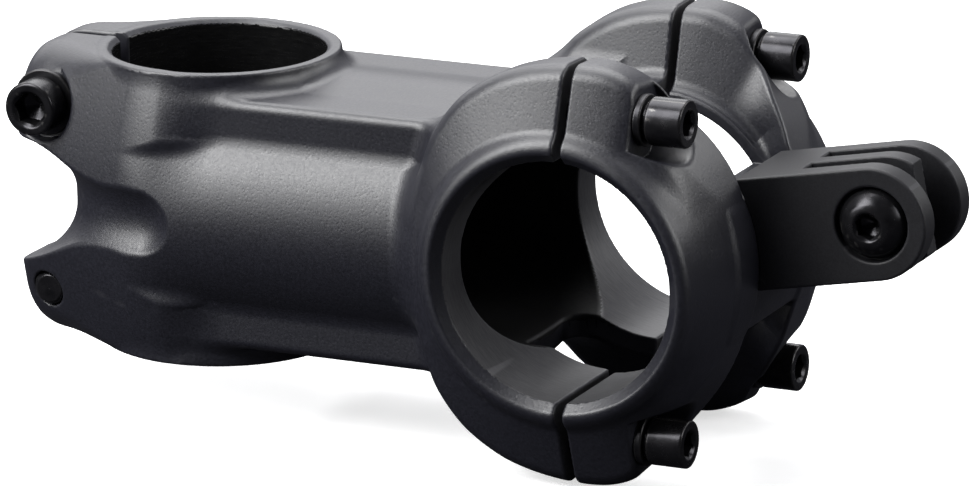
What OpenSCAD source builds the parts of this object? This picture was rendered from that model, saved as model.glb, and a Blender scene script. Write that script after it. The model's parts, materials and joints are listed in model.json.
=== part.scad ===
// Threadless handlebar stem, 60 mm, for a 1-1/8 inch steerer and a 31.8 mm bar,
// with a four-bolt faceplate that carries a three-prong accessory mount.
// Origin at the steerer centre. Z up along the steerer, X forward to the bar,
// Y across the bicycle with +Y on the rider's left.

/* [Sizes] */
// Centre of the steerer to centre of the handlebar, mm
stem_length = 60; // [58:1:75]
// Steerer bore diameter, mm
steerer_bore_d = 28.7; // [28.6:0.05:28.8]
// Handlebar bore diameter, mm
bar_bore_d = 31.9; // [31.8:0.05:32.0]
// Height of the steerer clamp, mm
stack_h = 40; // [38:1:42]
// Width of the handlebar clamp, mm
clamp_w = 50.8; // [50:0.2:52]
// Height of the extension at its flat deck, mm
beam_h = 34; // [32:1:35]
// Width of the compression slit in the steerer clamp, mm
slit_w = 2.1; // [1:0.1:3]
// Open gap between the body and the faceplate, mm
split_gap = 1.1; // [0.8:0.1:1.6]

/* [Accessory mount] */
// Forward distance from the bar centre to the mount screw, mm
pivot_x = 36.8; // [34:0.2:42]
// Height of the mount screw above the bar centre, mm
pivot_z = 7.5; // [6:0.5:9]
// Upward tilt of the mount, degrees
tilt = 10.7; // [8:0.1:12]
// Height of the mount block, mm
mount_h = 14.9; // [14.5:0.1:15.5]
// Width of each slot for the accessory fingers, mm
slot_w = 3.15; // [3.1:0.05:3.3]

/* [Show] */
// Piece to draw; all draws the whole assembly

/* [Hidden] */
$fn = 96;
cut = 80;                          // size of the blocks that cut pieces away

bar_x = stem_length;
steerer_r = steerer_bore_d / 2;
bar_r = bar_bore_d / 2;
half_stack = stack_h / 2;
half_clamp = clamp_w / 2;
body_face_x = bar_x + 0.2;         // mating face of the body
cap_face_x = body_face_x + split_gap;  // mating face of the faceplate

// faceplate bolts
cap_bolt_y = 18.6;                 // either side of centre
cap_bolt_z = 21.2;                 // above and below centre
cap_seat_x = bar_x + 9.8;          // washer seat
cap_washer_t = 1;

// steerer clamp bolts
clamp_bolt_x = -20.4;
clamp_bolt_z = 12.9;               // above and below centre
ear_seat = 11.2;                   // washer seat, from the centre plane
clamp_washer_t = 0.8;

// openings in the body and windows in the faceplate
opening_half_w = 7.6;
opening_x = bar_x - 12.4;          // rear end of the openings
opening_corner_r = 2.6;
window_half_w = 9.0;

// faceplate front plate and the bridge between its windows
plate_half_w = 20.2;
plate_half_h = 18.5;
bridge_r = 21.3;                   // outside radius
bridge_half_w = 12;
bridge_half_h = 9.0;

// accessory mount and its screws
mount_x = bar_x + pivot_x;
mount_right = -8.0;
mount_left = 7.8;
mid_prong_w = 3;
mount_seat_y = mount_right + 1.3;  // seat of the mount screw head
fix_offset = 4.2;                  // fixing screws: height, and distance either side
fix_seat_x = bar_x + 17.6;         // seat of the fixing screw heads

body_color = [0.11, 0.11, 0.12];
mount_color = [0.16, 0.16, 0.17];
bolt_color = [0.05, 0.05, 0.05];
washer_color = [0.1, 0.1, 0.1];

// ---- Helpers ----

// cylinders along X and along Y
module cyl_x(r, x0, x1, y = 0, z = 0) {
  translate([x0, y, z]) rotate([0, 90, 0]) cylinder(r = r, h = x1 - x0, $fn = 48);
}
module cyl_y(r, y0, y1, x = 0, z = 0, facets = 48) {
  translate([x, y0, z]) rotate([-90, 0, 0]) cylinder(r = r, h = y1 - y0, $fn = facets);
}

// a flat outline given in (x, z), swept along Y
module slab(y0, y1) {
  translate([0, y1, 0]) rotate([90, 0, 0]) linear_extrude(height = y1 - y0) children();
}

module both_z() {
  children();
  mirror([0, 0, 1]) children();
}
module both_y() {
  children();
  mirror([0, 1, 0]) children();
}

module hex_socket(across_flats, depth) {
  cylinder(r = across_flats / 2 / cos(30), h = depth, $fn = 6);
}

// closes a half outline with its mirror image below the first axis
function mirrored(points, shift = 0) = concat(
  [for (p = points) [shift + p[0], p[1]]],
  [for (i = [len(points) - 1 : -1 : 0]) [shift + points[i][0], -points[i][1]]]);

// ---- Handlebar clamp, shared by body and faceplate ----

// [distance from the centre plane, outside radius]
ring_points = [[0, 18.7], [9.6, 18.7], [11.2, 20.0], [12.4, 22.6], [13.4, 24.8],
  [14.8, 26.5], [16.6, 27.7], [18.6, 28.1], [20.4, 27.0], [21.8, 25.0],
  [23.0, 22.7], [23.9, 20.4], [24.7, 19.2], [half_clamp, 18.6]];
ring_last = len(ring_points) - 1;

module ring_solid() {
  translate([bar_x, 0, 0]) rotate([90, 0, 0]) rotate_extrude($fn = 96)
    polygon(concat(
      [for (i = [ring_last : -1 : 0]) [ring_points[i][1], -ring_points[i][0]]],
      [for (i = [1 : ring_last]) [ring_points[i][1], ring_points[i][0]]],
      [[0, half_clamp], [0, -half_clamp]]));
}

// bar bore with a small lead at each end
module bar_bore() {
  cyl_y(bar_r, -half_clamp - 1, half_clamp + 1, bar_x, 0, 96);
  both_y() translate([bar_x, half_clamp - 0.5, 0]) rotate([-90, 0, 0])
    cylinder(r1 = bar_r, r2 = bar_r + 0.6, h = 0.6, $fn = 96);
}

// ---- Stem body ----

// half width of the extension at height z
function flank(z) = let (a = abs(z))
  a > 12.5 ? 15.9 - (a - 12.5) * 0.08
  : a > 8 ? 19.3 - 3.4 * pow((a - 8) / 4.5, 1.4)
  : 20.2 - 0.9 * pow(a / 8, 2);
beam_levels = [for (i = [-12 : 12]) beam_h / 2 * i / 12];

module beam_section() {
  polygon(concat(
    [for (z = beam_levels) [flank(z), z]],
    [for (i = [len(beam_levels) - 1 : -1 : 0]) [-flank(beam_levels[i]), beam_levels[i]]]));
}

// superellipse, wide enough to leave a thin flank either side
function rounded(half_size, unit) = half_size * sign(unit) * pow(abs(unit), 0.72);
module hollow_section() {
  polygon([for (i = [0 : 47]) let (angle = i * 7.5)
    [rounded(18.3, cos(angle)), rounded(14.3, sin(angle))]]);
}

// steerer clamp end profile: [radius, distance in from the end]
clamp_end_points = [[16.3, 0], [16.4, 0.8], [17.9, 4.5], [18.8, 8], [19.7, 13]];
clamp_mid_r = 20.1;

module steerer_clamp() {
  rotate_extrude($fn = 96) polygon(concat(
    [[0, -half_stack]],
    [for (p = clamp_end_points) [p[0], p[1] - half_stack]],
    [[clamp_mid_r, 0]],
    [for (i = [len(clamp_end_points) - 1 : -1 : 0])
      [clamp_end_points[i][0], half_stack - clamp_end_points[i][1]]],
    [[0, half_stack]]));
}

// steerer bore with a small lead at each end
module steerer_bore() {
  translate([0, 0, -half_stack - 1]) cylinder(r = steerer_r, h = stack_h + 2);
  both_z() translate([0, 0, half_stack - 0.6])
    cylinder(r1 = steerer_r, r2 = steerer_r + 0.7, h = 0.7);
}

// upper ear from the side, in (x, z)
module ear_outline() {
  translate([clamp_bolt_x, clamp_bolt_z - 0.3]) circle(r = 7.2, $fn = 64);
  polygon([[clamp_bolt_x, 19.7], [clamp_bolt_x + 4.5, half_stack], [0, half_stack],
    [0, 3], [clamp_bolt_x - 6.9, 3], [clamp_bolt_x - 7.1, 12.0]]);
}

// seen from above, the ears draw in towards the slit: [x, half width]
ear_plan_points = [[2, 18.6], [-8, 17.4], [-14, 15.7], [-20, 13.8],
  [-24.3, 11.8], [-26.8, 9.2], [-27.8, 6]];

module ears() {
  intersection() {
    both_z() slab(-20, 20) ear_outline();
    translate([0, 0, -half_stack]) linear_extrude(height = stack_h)
      polygon(mirrored(ear_plan_points));
  }
}

// relief between the two ears, in (x, z)
module relief_outline() {
  translate([-3.6, 0]) circle(r = 5.5, $fn = 48);
  polygon([[-3.6, 5.5], [-14.6, 6.5], [-40, 8.9], [-40, -12.6], [-27, -9.2],
    [-21, -7.6], [-14.6, -6.5], [-3.6, -5.5]]);
}

// cuts between the ears, down to the steerer wall
module ear_relief() {
  difference() {
    slab(-cut / 2, cut / 2) relief_outline();
    translate([0, 0, -half_stack]) cylinder(r = 19.5, h = stack_h);
  }
}

// side of the clamp on the body half: [x from the bar centre, z]
rear_points = [[4, 27.8], [0, 27.8], [-5, 27.1], [-10, 25.6], [-14, 23.2],
  [-17.7, 19.7], [-20.6, 15.4], [-22.2, 10.2], [-22.7, 4.2]];

module rear_clamp() {
  intersection() {
    ring_solid();
    slab(-half_clamp, half_clamp) polygon(mirrored(rear_points, bar_x));
  }
}

// openings above and below the bar, rounded at their rear corners
module body_openings() {
  corner_x = opening_x + opening_corner_r;
  corner_y = opening_half_w - opening_corner_r;
  depth = bar_x - opening_x;
  linear_extrude(height = cut, center = true) {
    translate([corner_x, -opening_half_w]) square([depth, 2 * opening_half_w]);
    translate([opening_x, -corner_y]) square([depth, 2 * corner_y]);
    for (s = [-1, 1])
      translate([corner_x, s * corner_y]) circle(r = opening_corner_r, $fn = 32);
  }
}

// clearance and counterbore on the -Y side, thread on the +Y side
module clamp_hole(z) {
  cyl_y(2.75, -30, 0, clamp_bolt_x, z);
  cyl_y(2.5, -1, 30, clamp_bolt_x, z);
  cyl_y(4.9, -30, -ear_seat, clamp_bolt_x, z);
}

module stem_body() color(body_color) {
  hollow_x = 21;                   // rear end of the hollow
  difference() {
    union() {
      steerer_clamp();
      ears();
      // extension
      rotate([90, 0, 90]) linear_extrude(height = bar_x - 10) beam_section();
      rear_clamp();
    }
    // everything ahead of the mating face
    translate([body_face_x, -cut / 2, -cut / 2]) cube([cut, cut, cut]);
    steerer_bore();
    bar_bore();
    ear_relief();
    // compression slit
    translate([-40, -slit_w / 2, -half_stack - 1]) cube([40, slit_w, stack_h + 2]);
    // hollow inside of the extension, open to the handlebar bore
    rotate([90, 0, 90]) translate([0, 0, hollow_x])
      linear_extrude(height = bar_x - hollow_x) hollow_section();
    body_openings();
    // the two clamp bolts enter from opposite sides
    clamp_hole(clamp_bolt_z);
    mirror([0, 1, 0]) clamp_hole(-clamp_bolt_z);
    // threaded holes for the faceplate bolts
    both_y() both_z()
      cyl_x(2.0, body_face_x - 11.8, body_face_x + 1, cap_bolt_y, cap_bolt_z);
  }
}

// ---- Faceplate ----

// side of the faceplate: [x from the bar centre, z]
front_points = [[0.2, 27.9], [3.0, 28.1], [6.2, 27.6], [8.6, 26.7], [10.3, 25.6],
  [11.2, 23.2], [12.4, 19.9], [14.6, 16.9], [17.3, 12.8], [19.0, 9.4],
  [20.4, 5.5], [21.0, 1.8]];

module front_slab(half_width) {
  slab(-half_width, half_width) polygon(mirrored(front_points, bar_x));
}

module clamp_arcs() {
  intersection() {
    difference() {
      ring_solid();
      translate([bar_x - 30, -window_half_w, -cut / 2]) cube([cut, 2 * window_half_w, cut]);
    }
    front_slab(half_clamp);
  }
}

// bosses under the bolts
module bolt_bosses() {
  both_y() both_z() intersection() {
    cyl_x(5.4, cap_face_x, cap_seat_x, cap_bolt_y - 0.3, cap_bolt_z);
    front_slab(half_clamp);
  }
}

// front plate reaching across the bridge
module front_plate() {
  intersection() {
    front_slab(plate_half_w);
    slab(-plate_half_w, plate_half_w)
      polygon([[bar_x + 8, -plate_half_h], [bar_x + 40, -plate_half_h],
        [bar_x + 40, plate_half_h], [bar_x + 8, plate_half_h]]);
    union() {
      both_y() translate([bar_x, window_half_w, -30])
        cube([40, plate_half_w - window_half_w, 60]);
      bridge_cylinder();
    }
  }
}

module bridge_cylinder() cyl_y(bridge_r, -bridge_half_w, bridge_half_w, bar_x, 0, 96);

module faceplate() color(body_color) {
  front_x = bar_x + 40;            // clear of the front
  difference() {
    union() {
      clamp_arcs();
      bolt_bosses();
      front_plate();
    }
    // everything behind the mating face
    translate([bar_x - 60, -cut / 2, -cut / 2]) cube([60 + cap_face_x - bar_x, cut, cut]);
    bar_bore();
    // windows above and below the bridge
    both_z() translate([bar_x - 1, -window_half_w, bridge_half_h])
      cube([40, 2 * window_half_w, 30]);
    // spot faces and clearance holes for the bolts
    both_y() both_z() {
      cyl_x(5.2, cap_seat_x, front_x, cap_bolt_y, cap_bolt_z);
      cyl_x(2.25, bar_x, front_x, cap_bolt_y, cap_bolt_z);
    }
    // counterbores and clearance holes for the mount's fixing screws
    for (s = [-1, 1]) {
      cyl_x(3.6, bar_x, fix_seat_x, s * fix_offset, fix_offset);
      cyl_x(2.1, bar_x, front_x, s * fix_offset, fix_offset);
    }
  }
}

// ---- Accessory mount ----

// local frame at the mount screw, with X along the tilted mount
module at_mount(y) {
  translate([mount_x, y, pivot_z]) rotate([0, -tilt, 0]) children();
}

module mount_block() {
  slab(mount_right, mount_left) union() {
    translate([mount_x, pivot_z]) circle(r = mount_h / 2, $fn = 96);
    translate([mount_x, pivot_z]) rotate(tilt)
      translate([-30, -mount_h / 2]) square([30.2, mount_h]);
  }
}

module accessory_mount() color(mount_color) {
  difference() {
    mount_block();
    // seat on the bridge
    bridge_cylinder();
    translate([bar_x - 60, -20, -cut / 2]) cube([70, 40, cut]);
    // slots for the accessory fingers
    for (s = [-1, 1]) at_mount(s * (mid_prong_w + slot_w) / 2)
      translate([-9.6, -slot_w / 2, -20]) cube([40, slot_w, 40]);
    // middle prong is cut shorter than the outer two
    at_mount(-1.6) translate([4.3, 0, -20]) cube([20, 3.2, 40]);
    // screw hole: counterbore, clearance, thread in the left prong
    cyl_y(4.95, mount_right - 5, mount_seat_y, mount_x, pivot_z);
    cyl_y(2.6, mount_right - 1, 3, mount_x, pivot_z);
    cyl_y(2.5, 2, mount_left + 5, mount_x, pivot_z);
    // threaded holes for the fixing screws
    for (s = [-1, 1]) cyl_x(2.0, bar_x + 20, bar_x + 26.5, s * fix_offset, fix_offset);
  }
}

// ---- Faceplate bolts and washers ----

// seat at x = 0, head towards +X, shank towards -X
module cap_bolt() {
  difference() {
    union() {
      cyl_x(1.95, -20, 0.1);
      cyl_x(2.7, 0, 0.7);
      cyl_x(3.15, 0.5, 5.5);
    }
    translate([2.7, 0, 0]) rotate([0, 90, 0]) hex_socket(3, 10);
  }
}

module cap_washer() {
  difference() {
    cyl_x(3.4, 0, cap_washer_t);
    cyl_x(2.1, -1, 2);
  }
}

// side is -1 for right and 1 for left, level is -1 for lower and 1 for upper
module at_cap(side, level, lift = 0) {
  translate([cap_seat_x + lift, side * cap_bolt_y, level * cap_bolt_z]) children();
}
module cap_bolt_at(side, level) at_cap(side, level, cap_washer_t) cap_bolt();
module cap_washer_at(side, level) at_cap(side, level) cap_washer();

module faceplate_bolt_upper_right() color(bolt_color) cap_bolt_at(-1, 1);
module faceplate_bolt_upper_left() color(bolt_color) cap_bolt_at(1, 1);
module faceplate_bolt_lower_right() color(bolt_color) cap_bolt_at(-1, -1);
module faceplate_bolt_lower_left() color(bolt_color) cap_bolt_at(1, -1);
module faceplate_washer_upper_right() color(washer_color) cap_washer_at(-1, 1);
module faceplate_washer_upper_left() color(washer_color) cap_washer_at(1, 1);
module faceplate_washer_lower_right() color(washer_color) cap_washer_at(-1, -1);
module faceplate_washer_lower_left() color(washer_color) cap_washer_at(1, -1);

// ---- Clamp bolts and washers ----

// seat at y = 0, head towards -Y
module clamp_bolt() {
  difference() {
    union() {
      cyl_y(2.45, -0.1, 24);
      cyl_y(3.65, -4.2, 0);
    }
    translate([0, -1.6, 0]) rotate([90, 0, 0]) rotate(30) hex_socket(4, 10);
  }
}

module clamp_washer() {
  difference() {
    cyl_y(4.5, 0, clamp_washer_t);
    cyl_y(2.65, -1, 2);
  }
}

// outer face of the washer on the -Y side
module at_ear(z) translate([clamp_bolt_x, -ear_seat - clamp_washer_t, z]) children();

module clamp_bolt_upper() color(bolt_color) at_ear(clamp_bolt_z) clamp_bolt();
module clamp_bolt_lower() color(bolt_color)
  mirror([0, 1, 0]) at_ear(-clamp_bolt_z) clamp_bolt();
module clamp_washer_upper() color(washer_color) at_ear(clamp_bolt_z) clamp_washer();
module clamp_washer_lower() color(washer_color)
  mirror([0, 1, 0]) at_ear(-clamp_bolt_z) clamp_washer();

// ---- Mount screws ----

// domed head: [radius, height above the seat]
dome_points = [[0, 0], [4.65, 0], [4.65, 0.5], [4.45, 1.1], [4.0, 1.75],
  [3.4, 2.3], [2.6, 2.7], [0, 2.75]];

module mount_screw() color(bolt_color)
  translate([mount_x, mount_seat_y, pivot_z]) difference() {
    union() {
      cyl_y(2.45, -0.1, 14.2);
      rotate([90, 0, 0]) rotate_extrude($fn = 64) polygon(dome_points);
    }
    translate([0, -1.0, 0]) rotate([90, 0, 0]) rotate(30) hex_socket(3, 10);
  }

// heads towards the bar, shanks forward into the mount
module mount_fixing_screws() color(bolt_color)
  for (s = [-1, 1]) translate([fix_seat_x, s * fix_offset, fix_offset]) difference() {
    union() {
      cyl_x(1.95, -0.1, 8.2);
      cyl_x(3.5, -1.6, 0);
    }
    translate([-5, 0, 0]) rotate([0, 90, 0]) hex_socket(2.5, 4.4);
  }

stem_body();
faceplate();
accessory_mount();
faceplate_bolt_upper_right();
faceplate_bolt_upper_left();
faceplate_bolt_lower_right();
faceplate_bolt_lower_left();
faceplate_washer_upper_right();
faceplate_washer_upper_left();
faceplate_washer_lower_right();
faceplate_washer_lower_left();
clamp_bolt_upper();
clamp_bolt_lower();
clamp_washer_upper();
clamp_washer_lower();
mount_screw();
mount_fixing_screws();
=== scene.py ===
"""Bicycle stem with a four-bolt faceplate and an accessory mount.

+X points forward from the steerer axis to the bar clamp, +Y to the left and +Z up;
the origin is the middle of the steerer clamp. Shapes are signed distance fields in
millimetres, negative inside; the scene is in metres.
"""

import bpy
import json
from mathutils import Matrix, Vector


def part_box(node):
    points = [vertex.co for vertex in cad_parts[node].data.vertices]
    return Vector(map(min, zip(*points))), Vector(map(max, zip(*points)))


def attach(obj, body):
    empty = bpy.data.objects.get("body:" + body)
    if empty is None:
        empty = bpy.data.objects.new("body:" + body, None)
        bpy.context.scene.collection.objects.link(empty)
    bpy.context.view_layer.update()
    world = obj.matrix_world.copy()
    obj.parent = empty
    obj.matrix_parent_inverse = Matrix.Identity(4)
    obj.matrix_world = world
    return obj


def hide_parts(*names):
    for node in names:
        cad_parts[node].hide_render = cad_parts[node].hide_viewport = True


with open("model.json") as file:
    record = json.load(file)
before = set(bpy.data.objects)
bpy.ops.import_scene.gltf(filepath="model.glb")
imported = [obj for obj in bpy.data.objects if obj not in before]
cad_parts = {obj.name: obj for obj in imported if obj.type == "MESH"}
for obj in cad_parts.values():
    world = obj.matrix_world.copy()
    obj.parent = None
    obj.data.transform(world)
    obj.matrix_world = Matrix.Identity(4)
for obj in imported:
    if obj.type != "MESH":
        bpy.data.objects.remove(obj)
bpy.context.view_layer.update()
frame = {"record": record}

import json
import math
import bpy
import numpy as np
from mathutils import Matrix

MM = 0.001

# ---------------------------------------------------------------------------
# sizes in millimetres, read from the frame where it holds them
# ---------------------------------------------------------------------------
mounts = {mount["name"]: mount for mount in frame["record"]["mounts"]}
BAR_X = 1000 * mounts["bar_clamp"]["pos_m"][0]
BAR_R = mounts["bar_clamp"]["dims"]["r_mm"]
STEERER_R = mounts["steerer_clamp"]["dims"]["r_mm"]
CROSS_X, _, CROSS_Z = [1000 * c for c in mounts["accessory_prongs"]["pos_m"]]

STACK = 20.0                                     # half height of the steerer clamp
HALF_WIDTH = 1000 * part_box("stem_body")[1][1]
BODY_X = 1000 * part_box("stem_body")[1][0]        # mating face of the body
CAP_X = 1000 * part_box("faceplate")[0][0]         # mating face of the faceplate

washer_lo, washer_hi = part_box("faceplate_washer_upper_right")
SEAT_X = 1000 * washer_lo[0]
BOLT_Y = abs(500 * (washer_lo[1] + washer_hi[1]))
BOLT_Z = abs(500 * (washer_lo[2] + washer_hi[2]))
CAP_WASHER = 1000 * (washer_hi[0] - washer_lo[0])

washer_lo, washer_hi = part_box("clamp_washer_upper")
CLAMP_X = 500 * (washer_lo[0] + washer_hi[0])
CLAMP_Z = 500 * (washer_lo[2] + washer_hi[2])
EAR_Y = -1000 * washer_hi[1]
CLAMP_WASHER = 1000 * (washer_hi[1] - washer_lo[1])

MOUNT_Y0 = 1000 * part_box("accessory_mount")[0][1]
MOUNT_Y1 = 1000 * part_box("accessory_mount")[1][1]
MOUNT_SEAT_Y = MOUNT_Y0 + 1.3                    # seat of the cross screw
MOUNT_HEIGHT = 14.9
MOUNT_TILT = math.radians(10.7)

BRIDGE_R = 21.3                                  # front of the faceplate bridge
LIP_R = 18.7                                     # wall around the bar bore
FIXING_X = BAR_X + 17.6                          # seat of the fixing screws
FIXING_YZ = 4.2                                  # their place to each side, and their height

CAP_BOLT_TOP = 5.5                               # head tops above their seats
CLAMP_BOLT_TOP = 4.2
CROSS_SCREW_TOP = 2.75
FIXING_HEAD = 1.6
DIAGONAL = 0.7071                                # scales a 45 degree cone to true distance


# ---------------------------------------------------------------------------
# signed distance tools
# ---------------------------------------------------------------------------
def length(*parts):
    total = parts[0] * parts[0]
    for part in parts[1:]:
        total = total + part * part
    return np.sqrt(total)


def join(a, b, radius):
    """Union with a fillet."""
    return np.maximum(radius, np.minimum(a, b)) - length(
        np.maximum(radius - a, 0), np.maximum(radius - b, 0))


def meet(a, b, radius):
    """Intersection with a rounded edge."""
    return np.minimum(-radius, np.maximum(a, b)) + length(
        np.maximum(radius + a, 0), np.maximum(radius + b, 0))


def cut(a, b, radius):
    """a less b, with a rounded edge."""
    return meet(a, -b, radius)


def smooth(value, start, end):
    value = np.clip((value - start) / (end - start), 0, 1)
    return value * value * (3 - 2 * value)


def slab(x, low, high):
    return np.abs(x - (low + high) / 2) - (high - low) / 2


def rectangle(u, v, half_u, half_v, radius=0.0):
    over_u, over_v = np.abs(u) - half_u + radius, np.abs(v) - half_v + radius
    outside = length(np.maximum(over_u, 0), np.maximum(over_v, 0))
    return outside + np.minimum(np.maximum(over_u, over_v), 0) - radius


def hexagon(u, v, flats):
    """Hexagon of the given width across flats, one flat facing +u."""
    c, s = 0.5, math.sqrt(3) / 2
    d = np.maximum(np.abs(u), np.abs(c * u + s * v))
    return np.maximum(d, np.abs(c * u - s * v)) - flats / 2


def bore(radial, along, radius, half, lead):
    """Bore with a 45 degree lead at both ends."""
    cone = (radial - (radius + lead) - (along - half)) * DIAGONAL
    return np.minimum(radial - radius, cone)


def polar(pairs, soft):
    """Dense lookup in radians through (degrees, value) pairs, smoothed over soft degrees."""
    stations = np.radians([pair[0] for pair in pairs])
    angles = np.linspace(stations[0], stations[-1], 721)
    values = np.interp(angles, stations, [pair[1] for pair in pairs])
    reach = max(1, int(math.radians(soft) / (angles[1] - angles[0])))
    kernel = np.hanning(2 * reach + 3)[1:-1]
    kernel /= kernel.sum()
    pad = len(kernel) // 2
    for _ in range(2):
        values = np.convolve(np.pad(values, pad, mode="reflect"), kernel, mode="valid")
    return angles, values


# ---------------------------------------------------------------------------
# from field to mesh
# ---------------------------------------------------------------------------
def surface_net(field, low, high, step):
    """Vertices and quads of the zero set of a field on a cubic grid."""
    axes = [np.arange(low[i], high[i] + step, step, dtype=np.float32) for i in range(3)]
    shape = [len(axis) for axis in axes]
    value = np.broadcast_to(field(*np.ix_(*axes)), shape).astype(np.float32)
    inside = value < 0
    nx, ny, nz = [n - 1 for n in shape]
    corners = list(np.ndindex(2, 2, 2))
    corner_in = [inside[i : nx + i, j : ny + j, k : nz + k] for i, j, k in corners]
    active = np.logical_or.reduce(corner_in) & ~np.logical_and.reduce(corner_in)
    cells = np.nonzero(active)
    corner_value = {c: value[tuple(cells[i] + c[i] for i in range(3))] for c in corners}

    # each vertex is the mean of the crossings on the edges of its cell
    total = np.zeros((len(cells[0]), 3))
    count = np.zeros(len(cells[0]))
    for start in corners:
        for d in range(3):
            if start[d]:
                continue
            end = list(start)
            end[d] = 1
            va, vb = corner_value[start], corner_value[tuple(end)]
            crossed = (va < 0) != (vb < 0)
            part = np.where(crossed, va / np.where(crossed, va - vb, 1), 0)
            for e in range(3):
                total[:, e] += np.where(crossed, start[e] + (part if e == d else 0), 0)
            count += crossed
    total /= count[:, None]
    points = np.stack([axes[i][cells[i]] for i in range(3)], 1).astype(np.float64) + total * step

    # each crossed grid edge is ringed by four cells
    index = np.full(active.shape, -1, np.int32)
    index[cells] = np.arange(len(cells[0]))
    quads = []
    for d in range(3):
        e, g = (d + 1) % 3, (d + 2) % 3
        near, far = [slice(1, -1)] * 3, [slice(1, -1)] * 3
        near[d], far[d] = slice(0, -1), slice(1, None)
        near, far = inside[tuple(near)], inside[tuple(far)]
        edges = np.nonzero(near != far)
        base = [edges[q] + (0 if q == d else 1) for q in range(3)]
        ring_cells = []
        for step_e, step_g in ((1, 1), (0, 1), (0, 0), (1, 0)):
            cell = list(base)
            cell[e] = base[e] - step_e
            cell[g] = base[g] - step_g
            ring_cells.append(index[tuple(cell)])
        faces = np.stack(ring_cells, 1)
        flipped = ~near[edges]
        faces[flipped] = faces[flipped][:, ::-1]
        quads.append(faces)
    return points, np.concatenate(quads)


def gradient(field, points, reach):
    result = np.empty_like(points)
    for d in range(3):
        probe = points.copy()
        probe[:, d] += reach
        ahead = field(probe[:, 0], probe[:, 1], probe[:, 2])
        probe[:, d] -= 2 * reach
        result[:, d] = (ahead - field(probe[:, 0], probe[:, 1], probe[:, 2])) / (2 * reach)
    return result


def settle(field, points, step):
    """Draw the points onto the surface, each staying within 0.9 of a grid step."""
    start = points.copy()
    for _ in range(3):
        g = gradient(field, points, 0.04)
        d = field(points[:, 0], points[:, 1], points[:, 2])
        points = points - g * (d / np.maximum((g * g).sum(1), 0.2))[:, None]
        offset = points - start
        size = np.linalg.norm(offset, axis=1)
        points = start + offset * np.minimum(1, 0.9 * step / np.maximum(size, 1e-9))[:, None]
    return points


def quad_mesh(name, points, quads):
    mesh = bpy.data.meshes.new(name)
    mesh.vertices.add(len(points))
    mesh.vertices.foreach_set("co", (points * MM).astype(np.float32).ravel())
    mesh.loops.add(quads.size)
    mesh.loops.foreach_set("vertex_index", quads.astype(np.int32).ravel())
    mesh.polygons.add(len(quads))
    mesh.polygons.foreach_set("loop_start", np.arange(0, quads.size, 4, dtype=np.int32))
    mesh.polygons.foreach_set("loop_total", np.full(len(quads), 4, np.int32))
    mesh.update(calc_edges=True)
    mesh.validate()
    return mesh


def thinned(mesh, name, ratio):
    holder = bpy.data.objects.new("tmp", mesh)
    bpy.context.scene.collection.objects.link(holder)
    holder.modifiers.new("thin", "DECIMATE").ratio = ratio
    graph = bpy.context.evaluated_depsgraph_get()
    thin = bpy.data.meshes.new_from_object(holder.evaluated_get(graph), depsgraph=graph)
    bpy.data.objects.remove(holder)
    bpy.data.meshes.remove(mesh)
    thin.name = name
    return thin


def read_vectors(items, name):
    values = np.empty(len(items) * 3)
    items.foreach_get(name, values)
    return values.reshape(-1, 3)


def solid(name, field, low, high, step, most, mats, pick=None):
    """Mesh of a field, thinned to about `most` triangles, with the field's own normals.

    pick gives the material index from the face centres (mm) and face normals.
    """
    points, quads = surface_net(field, low, high, step)
    mesh = quad_mesh(name, settle(field, points, step), quads)
    if 2 * len(quads) > most:
        mesh = thinned(mesh, name, most / (2 * len(quads)))
    normals = gradient(field, read_vectors(mesh.vertices, "co") / MM, 0.06)
    normals /= np.maximum(np.linalg.norm(normals, axis=1), 1e-9)[:, None]
    mesh.polygons.foreach_set("use_smooth", np.ones(len(mesh.polygons), bool))
    mesh.normals_split_custom_set_from_vertices(normals.tolist())
    for mat in mats:
        mesh.materials.append(mat)
    if pick is not None:
        centres = read_vectors(mesh.polygons, "center") / MM
        index = pick(centres, read_vectors(mesh.polygons, "normal"))
        mesh.polygons.foreach_set("material_index", index.astype(np.int32))
    mesh.update()
    return mesh


def place(mesh, piece, node, name):
    ob = bpy.data.objects.new(name, mesh)
    bpy.context.scene.collection.objects.link(ob)
    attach(ob, piece)
    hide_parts(node)


def moved(mesh, name, at, turn=np.eye(3)):
    """Copy of a mesh, turned by a 3x3 rotation and then carried to a point in mm."""
    copy = mesh.copy()
    copy.name = name
    points = read_vectors(mesh.vertices, "co") @ turn.T + np.asarray(at, float) * MM
    normals = read_vectors(mesh.corner_normals, "vector") @ turn.T
    copy.vertices.foreach_set("co", points.ravel())
    copy.normals_split_custom_set(normals.tolist())
    copy.update()
    return copy


# ---------------------------------------------------------------------------
# clamp rings, shared by the body and the faceplate
# ---------------------------------------------------------------------------
# Each table holds (degrees from straight ahead about the bar axis, millimetres).
# A ring's crown runs between an outer and an inner ridge; each ridge has a radius from
# the bar axis, a distance from the middle plane and an edge rounding.
OUTER_R = polar([
    (0, 21.1), (15, 21.1), (28, 21.4), (36, 21.8), (41, 22.1), (46, 22.4), (54, 22.7),
    (59, 23.1), (62, 24.0), (65, 25.8), (68, 27.5), (72, 28.2), (78, 28.4), (84, 28.2),
    (90, 27.9), (97, 27.7), (110, 27.5), (117, 27.2), (124, 26.9), (131, 26.3),
    (138, 25.7), (144, 24.9), (157, 23.4), (170, 22.4), (180, 22.3)], 3)
OUTER_Y = polar([
    (0, 17.6), (18, 17.6), (30, 18.3), (36, 19.1), (41, 19.8), (46, 20.4), (56, 20.7),
    (70, 21.0), (90, 21.2), (180, 21.2)], 4)
OUTER_ROUND = polar([
    (0, 2.6), (22, 2.0), (36, 1.1), (58, 1.1), (68, 1.7), (80, 2.0), (140, 1.8),
    (180, 1.8)], 5)
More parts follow.
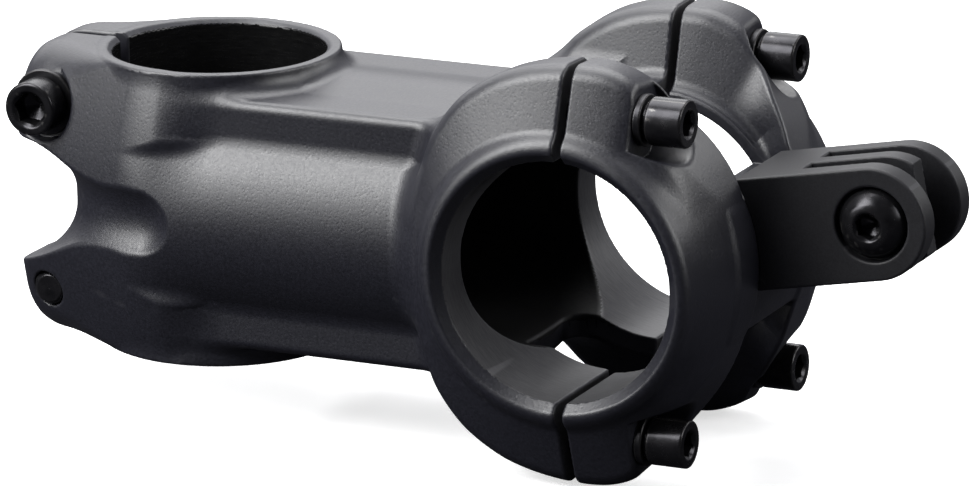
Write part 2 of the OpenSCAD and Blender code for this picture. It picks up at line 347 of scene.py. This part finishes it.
INNER_R = polar([
    (0, 21.5), (24, 21.6), (33, 22.2), (44, 23.2), (50, 23.8), (55, 24.5), (59, 25.2),
    (64, 26.3), (70, 27.4), (80, 27.9), (90, 27.6), (110, 27.2), (124, 26.6),
    (138, 25.2), (144, 24.4), (157, 22.9), (180, 21.8)], 3)
INNER_Y = polar([
    (0, 8.4), (30, 8.4), (34, 8.6), (44, 9.7), (50, 10.6), (55, 11.9), (60, 13.1),
    (70, 13.5), (180, 13.5)], 3)
INNER_ROUND = polar([
    (0, 0.4), (40, 0.6), (58, 0.8), (72, 1.8), (140, 2.0), (180, 1.6)], 5)


def clamp_ring(x, y, z, foot_r=LIP_R, foot_y=11.2):
    """Outer flank, crown between two ridges, and inner flank down to its foot."""
    abs_y = np.abs(y)
    radial = length(x - BAR_X, z)
    angle = np.arctan2(np.abs(z), x - BAR_X)
    outer_r, outer_y = np.interp(angle, *OUTER_R), np.interp(angle, *OUTER_Y)
    inner_r, inner_y = np.interp(angle, *INNER_R), np.interp(angle, *INNER_Y)
    share = np.clip((abs_y - inner_y) / (outer_y - inner_y), -0.4, 1.4)
    crown = inner_r + (outer_r - inner_r) * share

    outer_foot_r, outer_foot_y = 18.5, 24.4
    run, rise = outer_foot_y - outer_y, outer_r - outer_foot_r
    outer = ((radial - outer_foot_r) * run + (abs_y - outer_foot_y) * rise) / length(run, rise)

    foot_y = np.minimum(foot_y, inner_y + 1.2)
    run, rise = inner_y - foot_y, inner_r - foot_r
    inner = ((radial - foot_r) * run - (abs_y - foot_y) * rise) / length(run, rise)

    d = meet(radial - crown, outer, np.interp(angle, *OUTER_ROUND))
    return meet(meet(d, abs_y - HALF_WIDTH, 0.8), inner, np.interp(angle, *INNER_ROUND))


def lip(x, y, z, radius=LIP_R):
    return meet(length(x - BAR_X, z) - radius, np.abs(y) - HALF_WIDTH, 1.1)


def bar_bore(x, y, z):
    return bore(length(x - BAR_X, z), np.abs(y), BAR_R, HALF_WIDTH, lead=1.1)


# ---------------------------------------------------------------------------
# stem body
# ---------------------------------------------------------------------------
def steerer_clamp(x, abs_y, abs_z, radial):
    """Clamp and ears: in plan a circle with two tangents running back."""
    tangent_cos, tangent_sin = 0.946, 0.325
    half_width = 20.1 - 4.0 * np.clip(abs_z / 19.5, 0, 1.05) ** 1.7
    plan = np.where(tangent_cos * x + tangent_sin * abs_y > 0,
                    radial, tangent_cos * abs_y - tangent_sin * x)
    plan = np.where(x > 0, abs_y, plan) - half_width
    back = -(x + 27.7)
    profile = meet(abs_z - STACK, back, 7.0)
    return meet(meet(plan, back, 4.5), profile, 0.5 + 4.0 * smooth(-x, 7.0, 20.0))


def extension(x, abs_y, abs_z):
    """Box with flat decks joined to a barrel-shaped flank, ending inside the rings."""
    deck = rectangle(abs_y, abs_z, 15.8, 17.0, 1.3)
    flank = (length(abs_y / 20.15, abs_z / 18.0) - 1) * 18.6
    return np.maximum(join(deck, flank, 0.8), x - 50)


def ear_relief(x, z, abs_z, radial):
    """Pocket between the ears, growing taller to the rear, down to the steerer wall."""
    front, half = -2.8, 6.2
    behind = np.maximum(front - x, 0)
    flare = np.where(z < 0, 0.016, 0.003) * np.maximum(behind - 11.0, 0) ** 2
    tall = half + 0.06 * behind + flare
    outline = np.where(x > front, length(x - front, z) - half, (abs_z - tall) * 0.985)
    wall = 18.0 + 1.55 * smooth(-x, 3.0, 17.0)
    return meet(outline, wall - radial, 6.2)


def body_field(x, y, z):
    abs_y, abs_z = np.abs(y), np.abs(z)
    radial = length(x, y)
    d = steerer_clamp(x, abs_y, abs_z, radial)
    # the extension takes over ahead of the steerer, starting further back at mid height
    low = 1 - smooth(abs_z, 8.5, 11.5)
    share = smooth(x, -1.0 - 7.0 * low, 8.0 - 1.0 * low)
    d = d * (1 - share) + extension(x, abs_y, abs_z) * share
    collar = meet(radial - 16.4, abs_z - STACK, 0.35)
    d = join(d, collar, 0.4 + 2.2 * smooth(x, 2.0, 12.0))
    d = join(d, clamp_ring(x, y, z), 4.5)
    d = join(d, np.maximum(lip(x, y, z), x - BAR_X - 3), 1.5)
    d = cut(d, ear_relief(x, z, abs_z, radial), 0.35)
    # hollow of the extension: a superellipse in section
    power = 2.8
    hollow = np.power(np.power(abs_y / 18.3, power) + np.power(abs_z / 14.3, power), 1 / power)
    d = cut(d, meet((hollow - 1) * 15.0, 21.0 - x, 4.0), 0.4)
    # openings above and below the bar
    half = 20
    window = rectangle(x - (BAR_X - 12.4 + half), y, half, 7.6, 2.6)
    d = cut(d, np.maximum(window, 6 - abs_z), 0.5)
    # bores, mating face and the compression slit behind the steerer
    d = cut(d, bore(radial, abs_z, STEERER_R, STACK, lead=0.6), 0.25)
    d = cut(d, bar_bore(x, y, z), 0.3)
    d = meet(d, x - BODY_X, 0.4)
    d = cut(d, rectangle(x + 25, y, 25, 1.05), 0.35)
    # clamp bolts, the upper from -Y and the lower from +Y: spot face, clearance, thread
    for side in (-1, 1):
        off_axis = length(x - CLAMP_X, z + side * CLAMP_Z)
        along = y * side
        d = cut(d, np.maximum(off_axis - 4.95, EAR_Y - along), 0.45)
        d = np.maximum(d, -np.maximum(off_axis - 2.75, -along))
        d = cut(d, np.maximum(off_axis - 2.5, along), 0.3)
    # blind holes for the faceplate bolts
    off_axis = length(abs_y - BOLT_Y, abs_z - BOLT_Z)
    return cut(d, np.maximum(off_axis - 2.0, (BODY_X - 11.8) - x), 0.3)


def in_bar_bore(x, y, z):
    return (np.hypot(x - BAR_X, z) < BAR_R + 0.06) & (np.abs(y) < HALF_WIDTH - 0.3)


def pick_body(centres, normals):
    """0 outside, 1 bar bore and mating face, 2 steerer bore, 3 hollow."""
    x, y, z = centres.T
    index = np.zeros(len(centres))
    index[in_bar_bore(x, y, z) | (x > BODY_X - 0.05)] = 1
    index[(np.hypot(x, y) < STEERER_R + 0.06) & (x < 14)] = 2
    faces_inward = (np.abs(y) < 8) | (np.sign(y) * normals[:, 1] < 0)
    hollow = (x > 18) & (x < BAR_X - 5) & (np.abs(y) < 18.6) & (np.abs(z) < 15.0)
    index[hollow & (np.hypot(x - BAR_X, z) > BAR_R + 0.1) & faces_inward] = 3
    return index


# ---------------------------------------------------------------------------
# faceplate
# ---------------------------------------------------------------------------
def cap_field(x, y, z):
    abs_y, abs_z = np.abs(y), np.abs(z)
    radial = length(x - BAR_X, z)
    foot_r, bridge_half, bridge_z = 17.5, 14.0, 9.0
    d = clamp_ring(x, y, z, foot_r, 10.6)
    bridge = meet(radial - BRIDGE_R, abs_y - bridge_half, 0.6)
    d = join(d, meet(bridge, abs_z - bridge_z, 0.8), 0.8)
    # lips around the bore, lower across the bridge
    edge = np.where(abs_y < bridge_half, lip(x, y, z, foot_r), lip(x, y, z))
    d = join(d, np.maximum(edge, BAR_X - 3 - x), 1.5)
    # openings above and below the bridge
    window = np.maximum(abs_y - np.where(radial > 19, 8.4, 9.0), bridge_z - abs_z)
    d = cut(d, window, 0.3)
    d = cut(d, bar_bore(x, y, z), 0.3)
    d = meet(d, CAP_X - x, 0.4)
    # spot faces and holes of the four bolts
    off_axis = length(abs_y - BOLT_Y, abs_z - BOLT_Z)
    d = cut(d, np.maximum(off_axis - 5.2, SEAT_X - x), 0.5)
    d = np.maximum(d, -(off_axis - 2.25))
    # seats and holes of the mount's fixing screws, entered from the bar side
    off_axis = length(abs_y - FIXING_YZ, z - FIXING_YZ)
    d = cut(d, np.maximum(off_axis - 3.6, x - FIXING_X), 0.3)
    return np.maximum(d, -(off_axis - 2.1))


def pick_cap(centres, normals):
    """0 outside, 1 bar bore and mating face."""
    x, y, z = centres.T
    return in_bar_bore(x, y, z) | (x < CAP_X + 0.05)


# ---------------------------------------------------------------------------
# accessory mount
# ---------------------------------------------------------------------------
def mount_field(x, y, z):
    """Tilted tongue with a round nose, slotted from the front into prongs."""
    c, s = math.cos(MOUNT_TILT), math.sin(MOUNT_TILT)
    along = (x - CROSS_X) * c + (z - CROSS_Z) * s
    across = -(x - CROSS_X) * s + (z - CROSS_Z) * c
    outline = np.where(along > 0, length(along, across) - MOUNT_HEIGHT / 2,
                       np.abs(across) - MOUNT_HEIGHT / 2)
    d = meet(outline, slab(y, MOUNT_Y0, MOUNT_Y1), 0.35)
    d = meet(d, BRIDGE_R - length(x - BAR_X, z), 0.2)
    # two deep slots either side of the middle prong
    half_prong, half_slot = 1.5, 1.575
    for side in (-1, 1):
        slot = np.abs(y - side * (half_prong + half_slot)) - half_slot
        d = cut(d, np.maximum(slot, -9.6 - along), 0.25)
    # the middle prong stops short of the nose
    d = np.maximum(d, -np.maximum(np.abs(y) - 1.55, 4.3 - along))
    # cross screw: seat on the -Y side, clearance, thread on the +Y side
    off_axis = length(x - CROSS_X, z - CROSS_Z)
    d = cut(d, np.maximum(off_axis - 4.95, y - MOUNT_SEAT_Y), 0.3)
    d = np.maximum(d, -np.maximum(off_axis - 2.6, y - 3))
    return cut(d, np.maximum(off_axis - 2.5, 2 - y), 0.25)


# ---------------------------------------------------------------------------
# screws and washers: axis along X, seat at x = 0
# ---------------------------------------------------------------------------
def shank(x, y, z, radius, pitch, depth, long, tip, way=1):
    """Threaded shank with a tapered tip; the head is towards way * X."""
    radial = length(y, z)
    phase = x / pitch - np.arctan2(z, y) / (2 * math.pi)
    tooth = np.abs((phase - np.floor(phase)) * 2 - 1)
    thread = (radial - radius + depth * np.clip(tooth * 1.25 - 0.12, 0, 1)) * 0.75
    end = -way * x - long + np.maximum(radial - tip, 0) * 0.8
    return np.maximum(thread, np.maximum(way * x - 0.3, end))


def socket(x, y, z, top, flats, deep):
    """Hexagon socket with a countersunk mouth and a conical floor."""
    radial, floor_x = length(y, z), top - deep
    walls = np.maximum(hexagon(y, z, flats), floor_x - x)
    mouth = (radial - (flats * 0.5 / 0.866 + 0.25) - (x - top)) * DIAGONAL
    drill = (radial - flats * 0.5 * np.clip(1 + (x - floor_x) / 0.9, 0, 1)) * 0.7
    return np.minimum(np.minimum(walls, np.maximum(mouth, top - 0.6 - x)),
                      np.maximum(drill, x - floor_x - 0.1))


def cap_bolt_field(x, y, z):
    radial = length(y, z)
    head = meet(radial - 3.15, slab(x, 0.5, CAP_BOLT_TOP), 0.28)
    neck = np.maximum(radial - 2.7, slab(x, 0, 0.8))
    rod = shank(x, y, z, radius=1.95, pitch=0.7, depth=0.3, long=20.0, tip=1.3)
    d = np.minimum(join(head, neck, 0.15), rod)
    return cut(d, socket(x, y, z, CAP_BOLT_TOP, flats=3.0, deep=2.8), 0.12)


def clamp_bolt_field(x, y, z):
    head = meet(length(y, z) - 3.65, slab(x, 0, CLAMP_BOLT_TOP), 0.45)
    rod = shank(x, y, z, radius=2.45, pitch=0.8, depth=0.35, long=24.0, tip=1.8)
    d = np.minimum(head, rod)
    return cut(d, socket(x, y, z, CLAMP_BOLT_TOP, flats=4.0, deep=2.6), 0.12)


def cross_screw_field(x, y, z):
    """Domed head, then a plain shank that ends in a thread."""
    radial = length(y, z)
    dome = meet(length(radial, x + 1.777) - 5.177, slab(x, 0, CROSS_SCREW_TOP), 0.3)
    dome = meet(dome, radial - 4.65, 0.2)
    rod = shank(x, y, z, radius=2.45, pitch=0.8, depth=0.32, long=14.2, tip=1.8)
    plain = np.maximum(radial - 2.45, np.maximum(x - 0.3, -x - 9.0))
    d = np.minimum(dome, np.minimum(rod, plain))
    return cut(d, socket(x, y, z, CROSS_SCREW_TOP, flats=3.0, deep=1.9), 0.12)


def fixing_screw_field(x, y, z):
    """Low head towards -X."""
    head = meet(length(y, z) - 3.5, slab(x, -FIXING_HEAD, 0), 0.3)
    rod = shank(x, y, z, radius=1.95, pitch=0.7, depth=0.3, long=8.2, tip=1.3, way=-1)
    return cut(np.minimum(head, rod), np.maximum(hexagon(y, z, 2.5), x + 0.6), 0.1)


def washer_field(outer, hole, thick):
    def field(x, y, z):
        radial = length(y, z)
        return meet(cut(radial - outer, radial - hole, 0.12), slab(x, 0, thick), 0.18)
    return field


# ---------------------------------------------------------------------------
# materials, all procedural and in object space (metres)
# ---------------------------------------------------------------------------
BLACK, WHITE = (0, 0, 0), (1, 1, 1)


class Nodes:
    """Adds nodes to a tree; inputs take a socket, a number or a colour."""

    def __init__(self, tree):
        self.tree = tree

    def fill(self, node, inputs):
        for key, value in inputs.items():
            target = node.inputs[key]
            if hasattr(value, "links"):
                self.tree.links.new(value, target)
            elif value is not None:
                target.default_value = (*value, 1) if target.type == "RGBA" else value

    def add(self, kind, inputs={}, **settings):
        node = self.tree.nodes.new(kind)
        for key, value in settings.items():
            setattr(node, key, value)
        self.fill(node, inputs)
        return node

    def ramp(self, factor, *stops):
        """Colour ramp through (position, colour) stops."""
        node = self.add("ShaderNodeValToRGB", {"Fac": factor})
        elements = node.color_ramp.elements
        while len(elements) < len(stops):
            elements.new(0.5)
        for element, (position, color) in zip(elements, stops):
            element.position = position
            element.color = (*color, 1)
        return node.outputs["Color"]

    def mix(self, factor, a, b):
        return self.add("ShaderNodeMix", {0: factor, 6: a, 7: b}, data_type="RGBA").outputs[2]


class Finish(Nodes):
    """A principled material with the patterns the metals share."""

    def __init__(self, name):
        self.material = bpy.data.materials.new(name)
        self.material.use_nodes = True
        super().__init__(self.material.node_tree)
        self.coords = self.add("ShaderNodeTexCoord").outputs["Object"]

    def noise(self, scale, detail, rough, stretch=None):
        vector = self.coords
        if stretch:
            mapping = self.add("ShaderNodeMapping", {"Scale": stretch, "Vector": vector})
            vector = mapping.outputs["Vector"]
        return self.add("ShaderNodeTexNoise", {
            "Scale": scale, "Detail": detail, "Roughness": rough, "Vector": vector}).outputs[0]

    def math(self, operation, a, b):
        return self.add("ShaderNodeMath", {0: a, 1: b}, operation=operation).outputs[0]

    def fade(self, factor, start, end):
        return self.ramp(factor, (start, BLACK), (end, WHITE))

    def painted_edge_highlight(self, base, amount, color):
        """Painted highlight: a lighter colour where the mesh's edges stand out."""
        geometry = self.add("ShaderNodeNewGeometry")
        edges = self.fade(geometry.outputs["Pointiness"], start=0.515, end=0.60)
        return self.mix(self.math("MULTIPLY", edges, amount), base, color)

    def weighted(self, total, *parts):
        """total plus each (socket, weight) product."""
        products = [self.math("MULTIPLY", part, weight) for part, weight in parts]
        for product in reversed(products):
            total = self.math("ADD", product, total)
        return total

    def bump(self, height, strength, distance, normal=None):
        return self.add("ShaderNodeBump", {
            "Strength": strength, "Distance": distance,
            "Height": height, "Normal": normal}).outputs["Normal"]

    def done(self, base, metallic, rough, normal, **others):
        self.fill(self.tree.nodes["Principled BSDF"], {
            "Base Color": base, "Metallic": metallic, "Roughness": rough, "Normal": normal,
            **others})
        return self.material


def blasted():
    m = Finish("blasted_black")
    fine = m.noise(scale=2600, detail=3, rough=0.6)
    cells = m.add("ShaderNodeTexVoronoi", {"Scale": 1900, "Vector": m.coords})
    broad = m.noise(scale=70, detail=4, rough=0.55)
    pits = m.ramp(cells.outputs["Distance"], (0.0, BLACK), (0.20, (0.35,) * 3), (0.45, WHITE))
    base = m.mix(m.fade(broad, start=0.3, end=0.7),
                 (0.0058, 0.0060, 0.0105), (0.0082, 0.0085, 0.0145))
    base = m.mix(m.fade(fine, start=0.35, end=0.72), base, (0.0145, 0.0150, 0.0245))
    # painted edge highlight: a lighter colour on the body's sharp edges
    base = m.painted_edge_highlight(base, amount=0.30, color=(0.045, 0.045, 0.052))
    rough = m.weighted(0.35, (m.fade(fine, start=0.3, end=0.75), 0.10), (broad, 0.06))
    normal = m.bump(pits, strength=0.20, distance=0.00005)
    normal = m.bump(fine, strength=0.28, distance=0.00005, normal=normal)
    return m.done(base, metallic=0.0, rough=rough, normal=normal, IOR=1.80)


def machined(name, stretch, grey, rough, strength=0.25):
    """Cut metal; its tool rows are noise stretched along the low-scale axes."""
    m = Finish(name)
    rows = m.noise(scale=1.0, detail=4, rough=0.6, stretch=stretch)
    fine = m.noise(scale=3000, detail=2, rough=0.5)
    # dark and light are the tool-row tones; edge is the colour of the painted edge highlight
    dark, light, edge = [
        tuple(grey * share for share in shares)
        for shares in ((0.62, 0.62, 0.66), (1.25, 1.25, 1.3), (2.6, 2.6, 2.7))]
    base = m.mix(m.fade(rows, start=0.32, end=0.68), dark, light)
    # painted edge highlight: the edge colour on the sharp edges
    base = m.painted_edge_highlight(base, amount=0.5, color=edge)
    rough = m.weighted(rough - 0.08, (rows, 0.14), (fine, 0.05))
    normal = m.bump(rows, strength, distance=0.00003)
    return m.done(base, metallic=0.35, rough=rough, normal=normal)


def mount_finish():
    m = Finish("mount_matte_black")
    rows = m.noise(scale=1.0, detail=3, rough=0.6, stretch=(900, 5200, 900))
    fine = m.noise(scale=4200, detail=3, rough=0.6)
    base = m.mix(m.fade(fine, start=0.35, end=0.70), (0.007, 0.007, 0.009), (0.016, 0.016, 0.020))
    # painted edge highlight: a lighter colour on the mount's sharp edges
    base = m.painted_edge_highlight(base, amount=0.55, color=(0.060, 0.060, 0.068))
    rough = m.weighted(0.46, (fine, 0.12))
    normal = m.bump(fine, strength=0.22, distance=0.00004)
    normal = m.bump(rows, strength=0.06, distance=0.00003, normal=normal)
    return m.done(base, metallic=0.0, rough=rough, normal=normal, IOR=1.55)


def oxide(name, rough):
    m = Finish(name)
    broad = m.noise(scale=450, detail=4, rough=0.6)
    fine = m.noise(scale=5200, detail=3, rough=0.6)
    base = m.mix(m.fade(broad, start=0.3, end=0.7), (0.020, 0.020, 0.023), (0.045, 0.044, 0.048))
    # painted edge highlight: a light colour on the sharp edges of the screws and washers
    base = m.painted_edge_highlight(base, amount=0.6, color=(0.16, 0.155, 0.15))
    rough = m.weighted(rough - 0.10, (broad, 0.16), (fine, 0.06))
    normal = m.bump(fine, strength=0.10, distance=0.00003)
    normal = m.bump(broad, strength=0.08, distance=0.00005, normal=normal)
    return m.done(base, metallic=0.75, rough=rough, normal=normal)


BODY = blasted()
BAR_FACE = machined("bored_bar_face", (500, 5200, 500), grey=0.10, rough=0.40)
STEERER_FACE = machined("bored_steerer_face", (500, 500, 4200), grey=0.010, rough=0.24,
                        strength=0.10)
HOLLOW = machined("inner_hollow", (1400, 1400, 1400), grey=0.020, rough=0.52)
MOUNT = mount_finish()
BOLT = oxide("black_oxide", rough=0.24)
WASHER = oxide("black_oxide_washer", rough=0.32)

# ---------------------------------------------------------------------------
# large pieces: grid bounds and grid step in mm, then the triangle limit
# ---------------------------------------------------------------------------
mesh = solid("stem_body_shell", body_field, (-29.5, -26.4, -28.6), (61.2, 26.4, 28.6),
             0.36, 195000, (BODY, BAR_FACE, STEERER_FACE, HOLLOW), pick_body)
place(mesh, "stem", "stem_body", "stem_body_forging")
mesh = solid("faceplate_shell", cap_field, (60.4, -26.4, -28.8), (83.0, 26.4, 28.8),
             0.30, 180000, (BODY, BAR_FACE), pick_cap)
place(mesh, "faceplate", "faceplate", "faceplate_forging")
mesh = solid("accessory_mount_block", mount_field, (76.0, MOUNT_Y0 - 0.8, -5.5),
             (105.4, MOUNT_Y1 + 0.8, 17.4), 0.22, 120000, (MOUNT,))
place(mesh, "faceplate", "accessory_mount", "accessory_mount_block")


# ---------------------------------------------------------------------------
# screws and washers: one pattern mesh each, copied into place
# ---------------------------------------------------------------------------
def pattern(name, field, back, front, half, step, most, mat):
    """Solid on a grid from back to front along X and half to each side."""
    return solid(name, field, (back, -half, -half), (front, half, half), step, most, (mat,))


def spin(degrees):
    """Turn about X."""
    c, s = math.cos(math.radians(degrees)), math.sin(math.radians(degrees))
    return np.array([[1, 0, 0], [0, c, -s], [0, s, c]])


def head_to(side):
    """Turn that carries +X to side * Y."""
    return np.array([[0, -side, 0], [side, 0, 0], [0, 0, 1]], float)


def fit(mesh, piece, name, at, turn=np.eye(3)):
    place(moved(mesh, piece + "_mesh", at, turn), piece, piece, name)


cap_bolt = pattern("fp_bolt", cap_bolt_field, -20.6, 6.4, 3.6, 0.15, 60000, BOLT)
cap_washer = pattern("fp_washer", washer_field(outer=3.4, hole=2.1, thick=CAP_WASHER),
                     -0.5, CAP_WASHER + 0.5, 3.9, 0.14, 40000, WASHER)
clamp_bolt = pattern("cl_bolt", clamp_bolt_field, -24.6, 4.8, 4.2, 0.17, 60000, BOLT)
clamp_washer = pattern("cl_washer", washer_field(outer=4.5, hole=2.65, thick=CLAMP_WASHER),
                       -0.5, CLAMP_WASHER + 0.5, 5.0, 0.15, 40000, WASHER)
cross_screw = pattern("m_screw", cross_screw_field, -14.8, 3.3, 5.2, 0.17, 60000, BOLT)
fixing_screw = pattern("fix_screw", fixing_screw_field, -2.2, 8.8, 4.0, 0.18, 40000, BOLT)

# corner, side in Y, side in Z, turn of the socket in degrees
for corner, side_y, side_z, degrees in (
    ("upper_right", -1, 1, 17), ("upper_left", 1, 1, 43),
    ("lower_right", -1, -1, 8), ("lower_left", 1, -1, 29),
):
    y, z = side_y * BOLT_Y, side_z * BOLT_Z
    fit(cap_bolt, "faceplate_bolt_" + corner, "faceplate_screw_" + corner,
        (SEAT_X + CAP_WASHER, y, z), spin(degrees))
    fit(cap_washer, "faceplate_washer_" + corner, "faceplate_ring_" + corner, (SEAT_X, y, z))

for level, side, degrees in (("upper", -1, 20), ("lower", 1, 5)):
    z = -side * CLAMP_Z
    fit(clamp_bolt, "clamp_bolt_" + level, "clamp_screw_" + level,
        (CLAMP_X, side * (EAR_Y + CLAMP_WASHER), z), head_to(side) @ spin(degrees))
    fit(clamp_washer, "clamp_washer_" + level, "clamp_ring_" + level,
        (CLAMP_X, side * EAR_Y, z), head_to(side))

fit(cross_screw, "mount_screw", "mount_cross_screw", (CROSS_X, MOUNT_SEAT_Y, CROSS_Z),
    head_to(-1) @ spin(12))
for side, label in ((-1, "right"), (1, "left")):
    mesh = moved(fixing_screw, "mount_fixing_" + label + "_mesh",
                 (FIXING_X, side * FIXING_YZ, FIXING_YZ))
    place(mesh, "faceplate", "mount_fixing_screws", "mount_fixing_screw_" + label)

for mesh in (cap_bolt, cap_washer, clamp_bolt, clamp_washer, cross_screw, fixing_screw):
    bpy.data.meshes.remove(mesh)


# ---------------------------------------------------------------------------
# floor, world, lights and camera, in metres
# ---------------------------------------------------------------------------
def floor_material():
    """Pale to the camera but dark to other rays, so the underside of the metal stays dark."""
    material = bpy.data.materials.new("pale_floor")
    material.use_nodes = True
    nodes = Nodes(material.node_tree)
    pale = nodes.tree.nodes["Principled BSDF"]
    nodes.fill(pale, {
        "Base Color": (0.93, 0.93, 0.935), "Roughness": 0.9, "Specular IOR Level": 0.1})
    path = nodes.add("ShaderNodeLightPath")
    dark = nodes.add("ShaderNodeBsdfDiffuse", {"Color": (0.03, 0.03, 0.035)})
    glow = nodes.add("ShaderNodeEmission", {"Color": WHITE, "Strength": 0.62})
    seen = nodes.add("ShaderNodeAddShader", {0: pale.outputs[0], 1: glow.outputs[0]})
    mixed = nodes.add("ShaderNodeMixShader", {
        0: path.outputs["Is Camera Ray"], 1: dark.outputs[0], 2: seen.outputs[0]})
    nodes.fill(nodes.tree.nodes["Material Output"], {"Surface": mixed.outputs[0]})
    return material


def make_floor(half=6, z=-0.0285):
    material = floor_material()
    mesh = bpy.data.meshes.new("floor")
    corners = [(-half, -half, z), (half, -half, z), (half, half, z), (-half, half, z)]
    mesh.from_pydata(corners, [], [(0, 1, 2, 3)])
    mesh.materials.append(material)
    floor = bpy.data.objects.new("floor", mesh)
    bpy.context.scene.collection.objects.link(floor)


def make_world():
    """White to the camera; other rays meet a dim room, brighter up and to the rear left."""
    world = bpy.data.worlds.new("studio")
    bpy.context.scene.world = world
    world.use_nodes = True
    nodes = Nodes(world.node_tree)
    bright_side = (-0.36, 0.76, 0.54)
    facing = nodes.add("ShaderNodeVectorMath", {
        0: nodes.add("ShaderNodeTexCoord").outputs["Generated"], 1: bright_side},
        operation="DOT_PRODUCT")
    share = nodes.add("ShaderNodeMapRange", {
        "From Min": -1.0, "From Max": 1.0, "Value": facing.outputs["Value"]})
    room = nodes.ramp(share.outputs["Result"], (0.0, (0.006, 0.006, 0.009)),
                      (0.55, (0.02, 0.02, 0.026)), (1.0, (0.42, 0.42, 0.45)))
    path = nodes.add("ShaderNodeLightPath")
    color = nodes.mix(path.outputs["Is Camera Ray"], room, WHITE)
    nodes.fill(nodes.tree.nodes["Background"], {"Color": color, "Strength": 1.0})


def pose(ob, where, right, up, back):
    """Set an object looking along -back."""
    bpy.context.scene.collection.objects.link(ob)
    ob.matrix_world = Matrix(
        [[right[i], up[i], back[i], where[i]] for i in range(3)] + [[0, 0, 0, 1]])


def softbox(name, heading, height, side, brightness):
    """Square light facing a point on the stem, from a sphere around it."""
    target, distance = np.array([0.035, 0, 0]), 0.7
    turn, lift = math.radians(heading), math.radians(height)
    where = target + distance * np.array(
        [math.cos(turn) * math.cos(lift), math.sin(turn) * math.cos(lift), math.sin(lift)])
    light = bpy.data.lights.new(name, "AREA")
    light.shape = "RECTANGLE"
    light.size = light.size_y = side
    light.energy = math.pi * side * side * brightness
    back = where - target
    back /= np.linalg.norm(back)
    right = np.cross((0, 0, 1), back)
    right /= np.linalg.norm(right)
    pose(bpy.data.objects.new(name, light), where, right, np.cross(back, right), back)


def make_camera():
    """Ahead and to the right of the stem, a little above it."""
    turn, lift, roll = [math.radians(a) for a in (25.15727, 15.64262, -0.61932)]
    level = np.array([math.cos(turn), math.sin(turn), 0.0])
    back = np.array(
        [math.sin(turn) * math.cos(lift), -math.cos(turn) * math.cos(lift), math.sin(lift)])
    upright = np.cross(back, level)
    right = math.cos(roll) * level + math.sin(roll) * upright
    up = -math.sin(roll) * level + math.cos(roll) * upright
    # millimetres from a point on the stem axis: sideways, upwards and back
    where = np.array([40.0, 0, 0]) + right * -0.75752 + up * -2.98705 + back * 888.4686
    camera = bpy.data.cameras.new("camera")
    camera.sensor_fit = "HORIZONTAL"
    camera.sensor_width = 36.0
    camera.lens = 248.981744
    camera.clip_start, camera.clip_end = 0.01, 50.0
    ob = bpy.data.objects.new("camera", camera)
    pose(ob, where * MM, right, up, back)
    bpy.context.scene.camera = ob


make_floor()
make_world()
# name, heading and height in degrees, side in metres, brightness
for row in (
    ("key_upper", 228, 48, 0.38, 8.6),
    ("key_lower", 226, 25, 0.34, 6.6),
    ("key_foot", 235, 4, 0.30, 0.5),
    ("back_upper", 132, 42, 0.75, 1.8),
    ("overhead", 118, 72, 0.50, 3.8),
    ("front_low", 2, 26, 0.30, 5.0),
    ("front_far", 45, 26, 0.30, 3.0),
):
    softbox(*row)
make_camera()
bpy.context.scene.view_settings.view_transform = "Standard"
